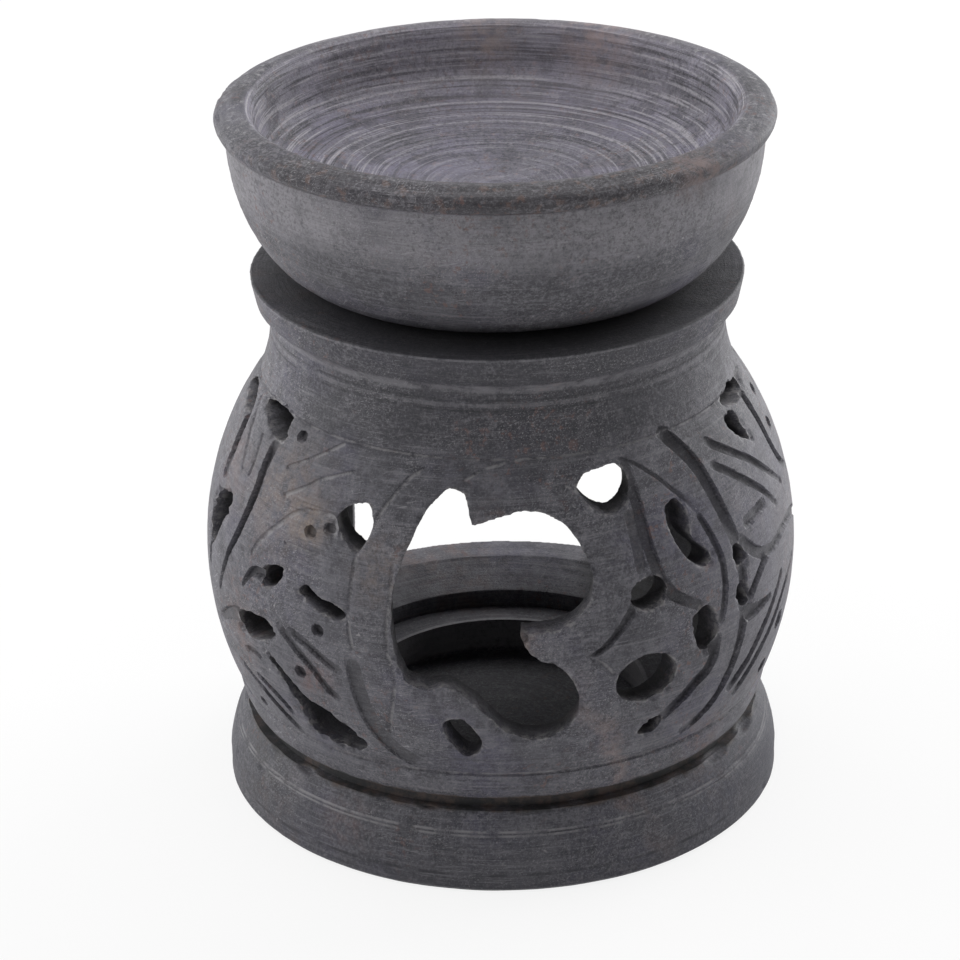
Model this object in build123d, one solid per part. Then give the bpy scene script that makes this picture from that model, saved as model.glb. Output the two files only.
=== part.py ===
from build123d import *
import math
import os

# Essential oil burner of turned and pierced soapstone: a base, a pierced body and a lift-off dish.
# Origin at the middle of the underside, +Z up, the pierced front window faces -Y.

# Base: a turned disc, cemented under the body
base_radius = 39.4
base_height = 12.5
base_side_height = 3.6
base_shoulder_radius = 35.6
base_foot_edge = 0.6
socket_depth = 4.0
plug_rise = 2.5
plug_clearance = 0.5
tea_light_radius = 19.5
tea_light_clearance = 0.8
recess_depth = 5.0

# Body: a turned shell with a bulging wall, a neck and a flat collar
body_height = 63.5
spigot_radius = 33.0
cement_gap = 0.3
groove_radius = 35.3
groove_height = 1.4
bead_set_in = 1.3
bead_height = 3.6
bead_bulge = 0.35
bulge_radius = 41.4
bulge_rise = 22.6
bulge_arc_radius = 44.8
wall = 4.2
floor_bore_radius = 25.5
floor_rise = 0.8
floor_slope_rise = 2.3
carved_height = 43.8
neck_set_in = 1.75
neck_waist_set_in = 1.35
neck_height = 9.2
collar_overhang = 2.6
collar_taper = 0.7
collar_height = 4.4
collar_low_edge = 0.8
collar_top_edge = 0.25
mouth_radius = 22.0
mouth_height = 4.6
mouth_taper_height = 2.0

# Carved grooves, and the finer veins of the leaves
groove_depth = 1.0
groove_width = 1.8
vein_width = 1.2

# Tea light door at the back
door_width = 44.0
door_side_height = 10.0
door_sill_rise = 3.3

# Dish: a thick bowl with an overhanging rim, located by a short spigot in the mouth
dish_height = 24.0
dish_spigot_depth = 3.0
dish_spigot_clearance = 0.5
dish_spigot_edge = 0.6
seat_width = 3.4
bowl_radius = 36.3
bowl_turn = 80
rim_height = 3.6
rim_radius = 37.7
rim_low_overhang = 1.0
rim_crown_radius = 34.3
rim_crown_drop = 0.6
rim_inner_radius = 33.0
rim_inner_drop = 0.5
bowl_floor_radius = 29.8
bowl_wall_depth = 9.6
bowl_floor_drop = 2.9

# One overrun for every cut
cut_overrun = 5.0

# Heights that follow from the sizes above
body_top = base_height + body_height
bead_foot = base_height + groove_height
bead_top = bead_foot + bead_height
carved_top = bead_top + carved_height
collar_foot = body_top - collar_height
neck_top = carved_top + neck_height
dish_top = body_top + dish_height
bulge_centre = base_height + bulge_rise
bulge_axis_offset = bulge_radius - bulge_arc_radius


def globe_radius(height, inset=0):
    """Radius of the bulging wall at a height, or of its inner face when inset by the wall."""
    arc_radius = bulge_arc_radius - inset
    return bulge_axis_offset + math.sqrt(arc_radius**2 - (height - bulge_centre)**2)


def globe_arc(low, high, inset=0):
    """The bulging wall's profile between two heights."""
    middle = (low + high) / 2
    ends = [(globe_radius(height, inset), height) for height in (low, middle, high)]
    return ThreePointArc(*ends)


def turn(profile):
    """Turn a closed profile of lines and arcs about the upright axis."""
    face = make_face([Plane.XZ * edge for edge in profile])
    return revolve(face, Axis.Z)


def chain(*points):
    """Straight runs from point to point."""
    return [Line(start, end) for start, end in zip(points, points[1:])]


# Base
recess_radius = tea_light_radius + tea_light_clearance
socket_radius = spigot_radius + cement_gap
socket_floor = base_height - socket_depth
plug_radius = floor_bore_radius - plug_clearance
plug_top = socket_floor + plug_rise
recess_floor = plug_top - recess_depth
side_top = (base_radius, base_side_height)
shoulder_top = (base_shoulder_radius, base_height)
shoulder_width_share = 0.66
shoulder_height_share = 0.56
shoulder_middle = (
    base_shoulder_radius + (base_radius - base_shoulder_radius) * shoulder_width_share,
    base_side_height + (base_height - base_side_height) * shoulder_height_share,
)
base_profile = chain(
    (0, recess_floor),
    (0, 0),
    (base_radius - base_foot_edge, 0),
    (base_radius, base_foot_edge),
    side_top,
)
base_profile += [ThreePointArc(side_top, shoulder_middle, shoulder_top)]
base_profile += chain(
    shoulder_top,
    (socket_radius, base_height),
    (socket_radius, socket_floor),
    (plug_radius, socket_floor),
    (plug_radius, plug_top),
    (recess_radius, plug_top),
    (recess_radius, recess_floor),
    (0, recess_floor),
)
base = turn(base_profile)

# Body shell
spigot_foot = socket_floor + cement_gap
floor_edge = base_height + floor_rise
floor_outer = floor_edge + floor_slope_rise
inner_neck_foot = carved_top
inner_neck_radius = globe_radius(inner_neck_foot, wall)
mouth_foot = body_top - mouth_height
bead_start = (globe_radius(bead_top) - bead_set_in, bead_foot)
bead_end = (globe_radius(bead_top), bead_top)
bead_middle = ((bead_start[0] + bead_end[0]) / 2 + bead_bulge, (bead_foot + bead_top) / 2)
neck_start = (globe_radius(carved_top), carved_top)
neck_middle = (globe_radius(carved_top) - neck_waist_set_in, (carved_top + neck_top) / 2)
neck_radius = globe_radius(carved_top) - neck_set_in
collar_radius = neck_radius + collar_overhang
neck_end = (neck_radius, neck_top)
collar_low_radius = collar_radius - collar_taper
body_profile = chain(
    (spigot_radius, spigot_foot),
    (spigot_radius, base_height),
    (groove_radius, base_height),
    bead_start,
)
body_profile += [
    ThreePointArc(bead_start, bead_middle, bead_end),
    globe_arc(bead_top, carved_top),
    ThreePointArc(neck_start, neck_middle, neck_end),
]
body_profile += chain(
    neck_end,
    (collar_low_radius - collar_low_edge, collar_foot),
    (collar_low_radius, collar_foot + collar_low_edge),
    (collar_radius, body_top - collar_top_edge),
    (collar_radius - collar_top_edge, body_top),
    (mouth_radius, body_top),
    (mouth_radius, mouth_foot),
    (inner_neck_radius, mouth_foot - mouth_taper_height),
    (inner_neck_radius, inner_neck_foot),
)
body_profile += [globe_arc(inner_neck_foot, floor_outer, wall)]
body_profile += chain(
    (globe_radius(floor_outer, wall), floor_outer),
    (floor_bore_radius, floor_edge),
    (floor_bore_radius, spigot_foot),
    (spigot_radius, spigot_foot),
)
body = turn(body_profile)

# Pierced holes: runs of points, each a bearing in degrees from the front and a share of the carved height.
# A run of two points is a straight cut, a longer run is a curve.
window_shares = [
    [(-5.8, 0.83), (-6.8, 0.88), (-7.4, 0.915)],
    [(-7.4, 0.915), (-11.2, 0.925)],
    [(-11.2, 0.925), (-15.2, 0.86), (-18.2, 0.755), (-20.3, 0.63), (-20.5, 0.54),
     (-19.6, 0.42), (-17.6, 0.335)],
    [(-17.6, 0.335), (-14.0, 0.322), (-10.0, 0.334), (-6.6, 0.30), (-3.6, 0.255), (-0.5, 0.19), (3.0, 0.155),
     (7.0, 0.145), (11.0, 0.165), (13.6, 0.215), (14.2, 0.275), (12.8, 0.35), (9.6, 0.41)],
    [(9.6, 0.41), (6.4, 0.43), (4.4, 0.465), (3.1, 0.515)],
    [(3.1, 0.515), (7.0, 0.515), (12.0, 0.53), (16.0, 0.585), (17.3, 0.66), (16.4, 0.73), (13.6, 0.81),
     (9.8, 0.852), (5.0, 0.868), (0.0, 0.853), (-5.8, 0.83)],
]
dot_hole_shares = [
    [(16.4, 0.91), (18.2, 0.945), (21.0, 0.955), (26.2, 0.962)],
    [(26.2, 0.962), (28.2, 0.93), (28.0, 0.885), (25.6, 0.845), (22.6, 0.832), (19.4, 0.855), (16.4, 0.91)],
]
leaf_hole_shares = [
    [(-27.9, 0.86), (-26.2, 0.80), (-28.6, 0.717)],
    [(-28.6, 0.717), (-31.6, 0.74), (-34.4, 0.80), (-31.6, 0.845), (-27.9, 0.86)],
]
crescent_hole_shares = [
    [(35.2, 0.76), (35.8, 0.815), (38.2, 0.83), (40.0, 0.79), (40.0, 0.72), (42.0, 0.675), (44.0, 0.64),
     (42.8, 0.61), (40.2, 0.625), (37.2, 0.68), (35.2, 0.76)],
]
tail_hole_shares = [
    [(40.4, 0.487), (38.2, 0.455), (38.7, 0.40), (40.0, 0.348), (42.0, 0.335), (44.0, 0.352), (44.4, 0.41),
     (43.0, 0.475), (40.4, 0.487)],
]
foot_hole_shares = [
    [(-9.6, 0.22), (-6.6, 0.205), (-4.2, 0.14), (-5.2, 0.09), (-7.6, 0.08), (-10.0, 0.13), (-11.3, 0.19),
     (-9.6, 0.22)],
]
slit_hole_shares = [
    [(27.2, 0.105), (29.6, 0.14), (32.3, 0.145), (31.8, 0.10), (29.4, 0.09), (27.2, 0.105)],
]
long_slot_shares = [
    [(-51.6, 0.295), (-46.6, 0.255), (-41.0, 0.185), (-35.6, 0.155), (-30.2, 0.095), (-28.4, 0.06),
     (-31.0, 0.03), (-37.0, 0.035), (-41.6, 0.06), (-44.0, 0.15), (-47.8, 0.235), (-51.6, 0.295)],
]
barb_hole_shares = [
    [(-41.3, 0.55), (-39.2, 0.58), (-36.2, 0.555), (-31.6, 0.542), (-30.4, 0.515), (-33.0, 0.50),
     (-38.0, 0.525), (-41.3, 0.55)],
]
wedge_hole_shares = [
    [(-51.8, 0.565), (-49.2, 0.595), (-46.2, 0.60), (-46.4, 0.565), (-48.8, 0.525), (-51.4, 0.52),
     (-51.8, 0.565)],
]
brow_hole_shares = [
    [(-61.0, 0.36), (-56.6, 0.395), (-50.4, 0.405), (-48.2, 0.375), (-50.4, 0.335), (-57.6, 0.31),
     (-61.0, 0.36)],
]
side_leaf_hole_shares = [
    [(-68.8, 0.70), (-68.6, 0.66), (-71.4, 0.57), (-75.2, 0.50), (-77.6, 0.51), (-78.2, 0.58), (-77.0, 0.65),
     (-73.8, 0.69), (-68.8, 0.70)],
]
shoulder_hole_shares = [
    [(-72.4, 0.985), (-64.0, 1.01), (-57.0, 0.995)],
    [(-57.0, 0.995), (-56.0, 0.93)],
    [(-56.0, 0.93), (-60.5, 0.93), (-66.0, 0.955), (-72.4, 0.985)],
]
far_shoulder_hole_shares = [
    [(-90.0, 0.955), (-85.0, 0.985), (-79.4, 0.955), (-77.4, 0.922), (-81.0, 0.915), (-86.0, 0.935),
     (-90.0, 0.955)],
]
upper_notch_shares = [
    [(50.6, 0.625), (53.0, 0.62), (54.4, 0.57), (52.0, 0.555), (50.5, 0.585), (50.6, 0.625)],
]
lower_notch_shares = [
    [(50.6, 0.50), (53.2, 0.495), (54.0, 0.42), (51.8, 0.425), (50.5, 0.455), (50.6, 0.50)],
]
thorn_hole_shares = [
    [(61.9, 0.935), (64.4, 0.957), (67.4, 0.952), (67.9, 0.91), (69.2, 0.857)],
    [(69.2, 0.857), (65.6, 0.885), (61.9, 0.935)],
]
brow_slot_shares = [
    [(64.8, 0.99), (72.0, 1.012), (79.5, 0.998), (80.4, 0.98), (79.5, 0.966), (71.0, 0.962), (64.8, 0.99)],
]
pierced_shares = [
    window_shares,
    crescent_hole_shares,
    tail_hole_shares,
    foot_hole_shares,
    slit_hole_shares,
    long_slot_shares,
    barb_hole_shares,
    wedge_hole_shares,
    brow_hole_shares,
    side_leaf_hole_shares,
    shoulder_hole_shares,
    far_shoulder_hole_shares,
    upper_notch_shares,
    lower_notch_shares,
    thorn_hole_shares,
    brow_slot_shares,
]
# Holes cut straighter back than they face: the outline, and the bearing of the cut
straighter_shares = [
    (dot_hole_shares, 12),
    (leaf_hole_shares, -16),
]
# Oval holes: bearing of the middle, share of the carved height, half width in degrees and half height share
oval_shares = [
    (28.9, 0.583, 4.0, 0.05),
    (27.9, 0.31, 6.4, 0.08),
]
# Carved grooves: lines of points, each a bearing and a share of the carved height
groove_shares = [
    [(-78.6, 0.94), (-76.0, 0.90), (-75.2, 0.83), (-75.0, 0.74), (-75.0, 0.67)],
    [(-58.2, 0.95), (-58.7, 0.85), (-58.8, 0.78), (-60.0, 0.70), (-62.0, 0.62), (-64.5, 0.55), (-67.0, 0.47)],
    [(27.4, 0.92), (29.0, 0.85), (29.5, 0.75), (30.3, 0.68), (31.5, 0.62), (34.0, 0.56), (37.0, 0.525),
     (40.2, 0.465)],
    [(42.4, 0.38), (43.3, 0.30), (42.0, 0.26), (40.0, 0.24), (37.5, 0.205), (35.0, 0.175), (31.0, 0.12)],
    [(42.5, 0.965), (46.5, 0.89), (48.5, 0.80), (50.0, 0.72), (51.8, 0.595)],
    [(52.3, 0.455), (52.0, 0.36), (51.0, 0.28), (49.0, 0.20), (46.5, 0.13), (43.0, 0.08)],
    [(52.4, 0.60), (56.0, 0.585), (59.0, 0.555), (62.0, 0.54), (66.0, 0.54), (72.0, 0.555), (78.0, 0.55),
     (84.0, 0.52), (90.0, 0.465), (95.0, 0.43)],
    [(77.6, 0.97), (77.2, 0.88), (78.0, 0.80), (80.0, 0.735), (83.0, 0.69), (88.0, 0.645)],
]
vein_shares = [
    [(-57.0, 0.355), (-65.0, 0.32), (-70.0, 0.275), (-75.0, 0.21), (-80.0, 0.165), (-86.0, 0.135),
     (-90.5, 0.11)],
    [(43.0, 0.76), (44.0, 0.73), (45.8, 0.66), (46.8, 0.60), (46.8, 0.52), (46.0, 0.45), (45.3, 0.42)],
    [(52.6, 0.455), (57.0, 0.48), (60.0, 0.515), (63.0, 0.535)],
    [(52.5, 0.935), (57.0, 0.89), (62.0, 0.845), (66.0, 0.805), (70.0, 0.755), (76.5, 0.675)],
    [(51.5, 0.87), (56.0, 0.825), (61.0, 0.77), (66.0, 0.71), (70.0, 0.645)],
    [(51.0, 0.14), (56.0, 0.21), (60.0, 0.28), (64.0, 0.345), (68.5, 0.42)],
    [(54.0, 0.10), (60.0, 0.19), (66.0, 0.275), (71.0, 0.35), (78.0, 0.41)],
]
# Bearings about which the side leaves repeat towards the back, and the outlines that do
left_mirror_bearing = -92
right_mirror_bearing = 92
mirrored_left_shares = [wedge_hole_shares, brow_hole_shares, side_leaf_hole_shares, shoulder_hole_shares]
mirrored_right_shares = [upper_notch_shares, lower_notch_shares, thorn_hole_shares, brow_slot_shares]
# Bearings beyond which a groove ends in the side leaves
left_leaf_bearing = -57
right_leaf_bearing = 57


def mirrored(runs, bearing):
    """The same outline on the other side of a bearing."""
    return [[(2 * bearing - angle, share) for angle, share in run] for run in runs]


def oval(angle, share, half_width, half_share):
    """An oval outline, as one closed curve through its sides, top and bottom and the quarters between."""
    steps = [math.radians(45 * step) for step in range(9)]
    return [[(angle + half_width * math.cos(step), share + half_share * math.sin(step)) for step in steps]]


def middle_bearing(line):
    """The bearing midway between a line's ends on either side, in radians."""
    angles = [angle for angle, share in line]
    return math.radians((min(angles) + max(angles)) / 2)


def facing(line, bearing):
    """A line's points as seen along a bearing: distance to the side, and height."""
    points = []
    for angle, share in line:
        height = bead_top + carved_height * share
        points.append((globe_radius(height) * math.sin(math.radians(angle) - bearing), height))
    return points


def cutter(edges, bearing):
    """A cutter from its outline's edges, from inside the shell to past its face, along a bearing."""
    wall_plane = Plane(
        origin=(0, 0, 0),
        x_dir=(math.cos(bearing), math.sin(bearing), 0),
        z_dir=(math.sin(bearing), -math.cos(bearing), 0),
    )
    start = inner_neck_radius - cut_overrun
    return extrude(wall_plane.offset(start) * make_face(edges), bulge_radius + cut_overrun - start)


def pierced_tool(runs, bearing):
    """A cutter for one hole, along a bearing."""
    lines = [facing(run, bearing) for run in runs]
    return cutter([Line(*points) if len(points) == 2 else Spline(*points) for points in lines], bearing)


def groove_tool(line, width):
    """A cutter for one groove: a band along the line, as deep as the carving goes."""
    bearing = middle_bearing(line)
    points = facing(line, bearing)
    lower = []
    upper = []
    for before, here, after in zip(points[:1] + points, points, points[1:] + points[-1:]):
        along = Vector(after[0] - before[0], after[1] - before[1], 0).normalized()
        side = (-along.Y * width / 2, along.X * width / 2)
        lower.append((here[0] - side[0], here[1] - side[1]))
        upper.append((here[0] + side[0], here[1] + side[1]))
    edges = [Spline(*lower), Line(lower[-1], upper[-1]), Spline(*upper[::-1]), Line(upper[0], lower[0])]
    return cutter(edges, bearing) & carved_layer


def with_far_sides(lines):
    """The lines, and those that end in the side leaves repeated towards the back."""
    left = [line for line in lines if line[-1][0] < left_leaf_bearing]
    right = [line for line in lines if line[-1][0] > right_leaf_bearing]
    return lines + mirrored(left, left_mirror_bearing) + mirrored(right, right_mirror_bearing)


outlines = list(pierced_shares)
outlines += [oval(*shares) for shares in oval_shares]
outlines += [mirrored(runs, left_mirror_bearing) for runs in mirrored_left_shares]
outlines += [mirrored(runs, right_mirror_bearing) for runs in mirrored_right_shares]
for runs in outlines:
    body -= pierced_tool(runs, middle_bearing(sum(runs, [])))
for runs, angle in straighter_shares:
    body -= pierced_tool(runs, math.radians(angle))

# Grooves: cut into the layer under the globe's face
past_face = bulge_radius + cut_overrun
carved_layer = turn([
    globe_arc(bead_top, carved_top, groove_depth),
    *chain(
        (globe_radius(carved_top, groove_depth), carved_top),
        (past_face, carved_top),
        (past_face, bead_top),
        (globe_radius(bead_top, groove_depth), bead_top),
    ),
])
for lines, width in ((groove_shares, groove_width), (vein_shares, vein_width)):
    for line in with_far_sides(lines):
        body -= groove_tool(line, width)

# Door: an arch cut straight in from the back, its sill level with the chamber's floor
door_sill = base_height + door_sill_rise
door_spring = door_sill + door_side_height
half_door = door_width / 2
left_spring = (-half_door, door_spring)
right_spring = (half_door, door_spring)
door_outline = chain(left_spring, (-half_door, door_sill), (half_door, door_sill), right_spring)
door_outline += [ThreePointArc(right_spring, (0, door_spring + half_door), left_spring)]
door_face = make_face([Plane.XZ * edge for edge in door_outline])
body -= extrude(door_face, bulge_radius + cut_overrun, dir=(0, 1, 0))

# Dish
spigot_end = body_top - dish_spigot_depth
dish_spigot_radius = mouth_radius - dish_spigot_clearance
seat_radius = dish_spigot_radius + seat_width
rim_foot = dish_top - rim_height
turn_radians = math.radians(bowl_turn)
bowl_drop = (rim_foot - body_top) / math.sin(turn_radians)
bowl_reach = (bowl_radius - seat_radius) / (1 - math.cos(turn_radians))
bowl_centre = (bowl_radius - bowl_reach, rim_foot)
bowl_curve = EllipticalCenterArc(
    bowl_centre, bowl_reach, bowl_drop, start_angle=-bowl_turn, arc_size=bowl_turn
)
rim_low = (bowl_radius + rim_low_overhang, rim_foot)
rim_wide = (rim_radius, rim_foot + rim_height / 2)
rim_shoulder = ((rim_radius + rim_crown_radius) / 2, dish_top - rim_crown_drop)
rim_crown = (rim_crown_radius, dish_top)
rim_inner = (rim_inner_radius, dish_top - rim_inner_drop)
wall_foot = (bowl_floor_radius, dish_top - bowl_wall_depth)
floor_middle = (0, dish_top - bowl_wall_depth - bowl_floor_drop)
dish_profile = chain(
    floor_middle,
    (0, spigot_end),
    (dish_spigot_radius - dish_spigot_edge, spigot_end),
    (dish_spigot_radius, spigot_end + dish_spigot_edge),
    (dish_spigot_radius, body_top),
    (seat_radius, body_top),
)
dish_profile += [bowl_curve]
dish_profile += chain((bowl_radius, rim_foot), rim_low)
dish_profile += [Spline(rim_low, rim_wide, rim_shoulder, rim_crown)]
dish_profile += chain(rim_crown, rim_inner, wall_foot)
dish_profile += [TangentArc(floor_middle, wall_foot, tangent=(1, 0))]
dish = turn(dish_profile)

# Hand-in
os.makedirs("parts", exist_ok=True)
export_step(base, "parts/base.step")
export_step(body, "parts/body.step")
export_step(dish, "parts/dish.step")
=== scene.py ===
import math
import random

import bpy
import numpy as np
from mathutils import Matrix, Vector, noise


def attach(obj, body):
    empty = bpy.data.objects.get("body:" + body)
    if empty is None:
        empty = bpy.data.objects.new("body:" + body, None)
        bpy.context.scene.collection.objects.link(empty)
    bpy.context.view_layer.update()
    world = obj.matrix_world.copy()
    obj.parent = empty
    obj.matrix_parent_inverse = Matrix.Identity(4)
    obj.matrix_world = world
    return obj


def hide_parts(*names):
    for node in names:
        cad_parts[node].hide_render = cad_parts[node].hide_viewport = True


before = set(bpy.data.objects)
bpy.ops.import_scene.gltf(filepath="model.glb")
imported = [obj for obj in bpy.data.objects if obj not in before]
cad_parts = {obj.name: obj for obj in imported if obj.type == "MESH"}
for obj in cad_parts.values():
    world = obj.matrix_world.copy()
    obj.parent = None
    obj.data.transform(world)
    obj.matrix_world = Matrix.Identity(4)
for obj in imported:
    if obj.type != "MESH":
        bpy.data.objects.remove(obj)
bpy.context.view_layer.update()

# Base: the round foot, turned from one block of dark soapstone.
# A rounded shoulder with a pair of scribed lines, a socket that the body is cemented into,
# and inside it a raised plug with a recess that the tea light stands in.
mm = 0.001
whole_turn = 2 * math.pi
merge_reach = 0.001 * mm
base_radius = 39.4
base_height = 12.5
base_foot_edge = 0.6
side_top = 3.6
shoulder_middle = (38.11, 8.58)
shoulder_radius = 35.6
shoulder_steps = 48
joint_lip = 11.25
joint_radius = 35.2
socket_radius = 33.3
socket_floor = 8.5
plug_radius = 25.0
plug_top = 11.0
recess_radius = 20.3
recess_floor = 6.0
turning_step = 0.45
turning_ripple = 0.05
scribe_depth = 0.13
scribe_half_width = 0.16
scribe_heights = (8.1, 8.6)
low_line_height = 2.7
lathe_steps = 400
lathe_smoothing = math.radians(40)


def along_arc(start, middle, end, count):
    """Points on the arc of a circle through three points, both ends included."""
    ax, ay = start
    bx, by = middle
    cx, cy = end
    double = 2 * (ax * (by - cy) + bx * (cy - ay) + cx * (ay - by))
    ux = ((ax**2 + ay**2) * (by - cy) + (bx**2 + by**2) * (cy - ay) + (cx**2 + cy**2) * (ay - by)) / double
    uy = ((ax**2 + ay**2) * (cx - bx) + (bx**2 + by**2) * (ax - cx) + (cx**2 + cy**2) * (bx - ax)) / double
    radius = math.hypot(ax - ux, ay - uy)
    first = math.atan2(ay - uy, ax - ux)
    turn_to_middle = (math.atan2(by - uy, bx - ux) - first) % whole_turn
    turn_to_end = (math.atan2(cy - uy, cx - ux) - first) % whole_turn
    if turn_to_middle > turn_to_end:
        turn_to_end -= whole_turn
    angles = [first + turn_to_end * step / count for step in range(count + 1)]
    return [(ux + radius * math.cos(angle), uy + radius * math.sin(angle)) for angle in angles]


def tool_marks(points, step, depth, seed):
    """The run cut up into short steps, each set a little way into the stone, as a lathe tool leaves it.

    The stone is on the left of the run as it is walked. The run's two ends stay where they are.
    """
    dice = random.Random(seed)
    marked = [points[0]]
    for (r0, z0), (r1, z1) in zip(points, points[1:]):
        length = math.hypot(r1 - r0, z1 - z0)
        count = max(1, round(length / step))
        for number in range(1, count + 1):
            share = number / count
            inset = depth * dice.random()
            marked.append((
                r0 + (r1 - r0) * share - (z1 - z0) / length * inset,
                z0 + (z1 - z0) * share + (r1 - r0) / length * inset,
            ))
    marked[-1] = points[-1]
    return marked


def draw_line(start, moves):
    """A new piece that is one line of edges: its start, and the moves from point to point, in metres.

    It is left in edit mode with the whole line selected.
    """
    bpy.ops.object.select_all(action="DESELECT")
    bpy.ops.mesh.primitive_plane_add(size=mm)
    bpy.ops.object.mode_set(mode="EDIT")
    bpy.ops.mesh.select_mode(type="VERT")
    bpy.ops.mesh.select_all(action="SELECT")
    bpy.ops.mesh.merge(type="CENTER")
    bpy.ops.transform.translate(value=start)
    for move in moves:
        bpy.ops.mesh.extrude_region_move(TRANSFORM_OT_translate={"value": move})
    bpy.ops.mesh.select_all(action="SELECT")
    return bpy.context.object


def turn_on_lathe(name, profile, steps):
    """A piece spun about the upright axis from its half profile of (radius, height) points in millimetres."""
    places = [Vector((radius * mm, 0, height * mm)) for radius, height in profile]
    piece = draw_line(places[0], [there - here for here, there in zip(places, places[1:])])
    piece.name = name
    bpy.ops.mesh.spin(steps=steps, angle=whole_turn, center=(0, 0, 0), axis=(0, 0, 1))
    bpy.ops.mesh.select_all(action="SELECT")
    bpy.ops.mesh.remove_doubles(threshold=merge_reach)
    bpy.ops.mesh.normals_make_consistent(inside=False)
    bpy.ops.object.mode_set(mode="OBJECT")
    return piece


shoulder = []
for radius, height in along_arc(
    (base_radius, side_top), shoulder_middle, (shoulder_radius, base_height), shoulder_steps
):
    if height > joint_lip:
        break
    on_line = any(abs(height - line_height) < scribe_half_width for line_height in scribe_heights)
    shoulder.append((radius - scribe_depth if on_line else radius, height))
base_outside = [(base_radius - base_foot_edge, 0)]
base_outside += tool_marks([(base_radius, base_foot_edge)] + shoulder, turning_step, turning_ripple, 11)
base_inside = tool_marks(
    [
        shoulder[-1],
        (joint_radius, joint_lip),
        (joint_radius, base_height),
        (socket_radius, base_height),
        (socket_radius, socket_floor),
        (plug_radius, socket_floor),
        (plug_radius, plug_top),
        (recess_radius, plug_top),
        (recess_radius, recess_floor),
        (0, recess_floor),
    ],
    turning_step, turning_ripple, 12,
)
turned_base = turn_on_lathe("turned_base", [(0, 0)] + base_outside + base_inside[1:], lathe_steps)
bpy.ops.object.shade_smooth_by_angle(angle=lathe_smoothing)


def modify(piece, kind, **settings):
    """Gives a piece a modifier with its settings and applies it. The piece is left selected alone."""
    modifier = piece.modifiers.new(kind.lower(), kind)
    for setting, value in settings.items():
        setattr(modifier, setting, value)
    bpy.ops.object.select_all(action="DESELECT")
    piece.select_set(True)
    bpy.context.view_layer.objects.active = piece
    bpy.ops.object.modifier_apply(modifier=modifier.name)


def weather(piece, depth, size, texture_name):
    """Wears a piece's faces inwards by a cloudy pattern, as much as depth at the deepest."""
    clouds = bpy.data.textures.new(texture_name, "CLOUDS")
    clouds.noise_scale = size * mm
    clouds.noise_depth = 3
    modify(piece, "DISPLACE", texture=clouds, texture_coords="LOCAL", mid_level=0, strength=-depth * mm)


def read_places(piece):
    """The places of a piece's vertices in millimetres."""
    flat = np.empty(len(piece.data.vertices) * 3, np.float32)
    piece.data.vertices.foreach_get("co", flat)
    return flat.reshape(-1, 3).astype(float) / mm


def write_places(piece, places):
    """Puts a piece's vertices at places in millimetres."""
    piece.data.vertices.foreach_set("co", (places * mm).astype(np.float32).ravel())
    piece.data.update()


def bearings(places):
    """The bearing of each place from the front, in radians, growing towards the right."""
    return np.arctan2(places[:, 0], -places[:, 1])


def knock(piece, chips):
    """Small chips knocked out of a turned piece towards its axis.

    Each chip has a bearing from the front, a radius, a height, a length round the piece, a width and a depth.
    """
    places = read_places(piece)
    radius = np.hypot(places[:, 0], places[:, 1])
    bearing = bearings(places)
    for angle, chip_radius, height, length, width, depth in chips:
        round_off = (bearing - math.radians(angle) + math.pi) % whole_turn - math.pi
        across = np.hypot(radius - chip_radius, places[:, 2] - height)
        away = (round_off * chip_radius / (length / 2))**2 + (across / (width / 2))**2
        sunk = depth * np.clip(1 - away, 0, 1)
        places[:, :2] *= (1 - sunk / np.maximum(radius, 1))[:, None]
        places[:, 2] -= sunk / 2
    write_places(piece, places)


def ragged_edge(edge_radius, edge_height, count, longest, widest, deepest, seed):
    """Chips of many sizes, strewn round an edge of a turned piece."""
    dice = random.Random(seed)
    chips = []
    for number in range(count):
        size = dice.uniform(0.25, 1.0)
        angle = dice.uniform(-180, 180)
        depth = deepest * dice.random()
        chips.append((angle, edge_radius, edge_height, longest * size, widest * size, depth))
    return chips


weather(turned_base, 0.12, 5.0, "base_wear")
lip_radius = shoulder[-1][0]
knock(turned_base, ragged_edge(lip_radius, joint_lip, 54, 7.0, 2.4, 0.55, 31))
knock(turned_base, [
    (-62, 38.6, 7.6, 3.4, 1.0, 0.45), (-55, 38.2, 8.6, 2.0, 0.9, 0.3), (-76, 39.2, 5.6, 1.2, 2.2, 0.25),
    (-20, 39.3, 1.0, 2.0, 1.2, 0.3), (24, 39.3, 0.9, 2.6, 1.0, 0.3), (70, 39.2, 1.2, 1.6, 1.2, 0.3),
    (150, 39.3, 1.0, 3.0, 1.4, 0.4), (-140, 38.4, 8.4, 2.4, 1.2, 0.3),
])


def add_node(tree, kind, inputs=None, **settings):
    """A shader node with its settings, and its sockets either set to a value or linked to another node's."""
    node = tree.nodes.new(kind)
    for setting, value in settings.items():
        setattr(node, setting, value)
    for socket, value in (inputs or {}).items():
        if isinstance(value, bpy.types.NodeSocket):
            tree.links.new(value, node.inputs[socket])
        else:
            node.inputs[socket].default_value = value
    return node


def maths(tree, operation, first, second=0.0):
    """The outcome of an operation on one or two values."""
    return add_node(tree, "ShaderNodeMath", {0: first, 1: second}, operation=operation).outputs[0]


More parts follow.
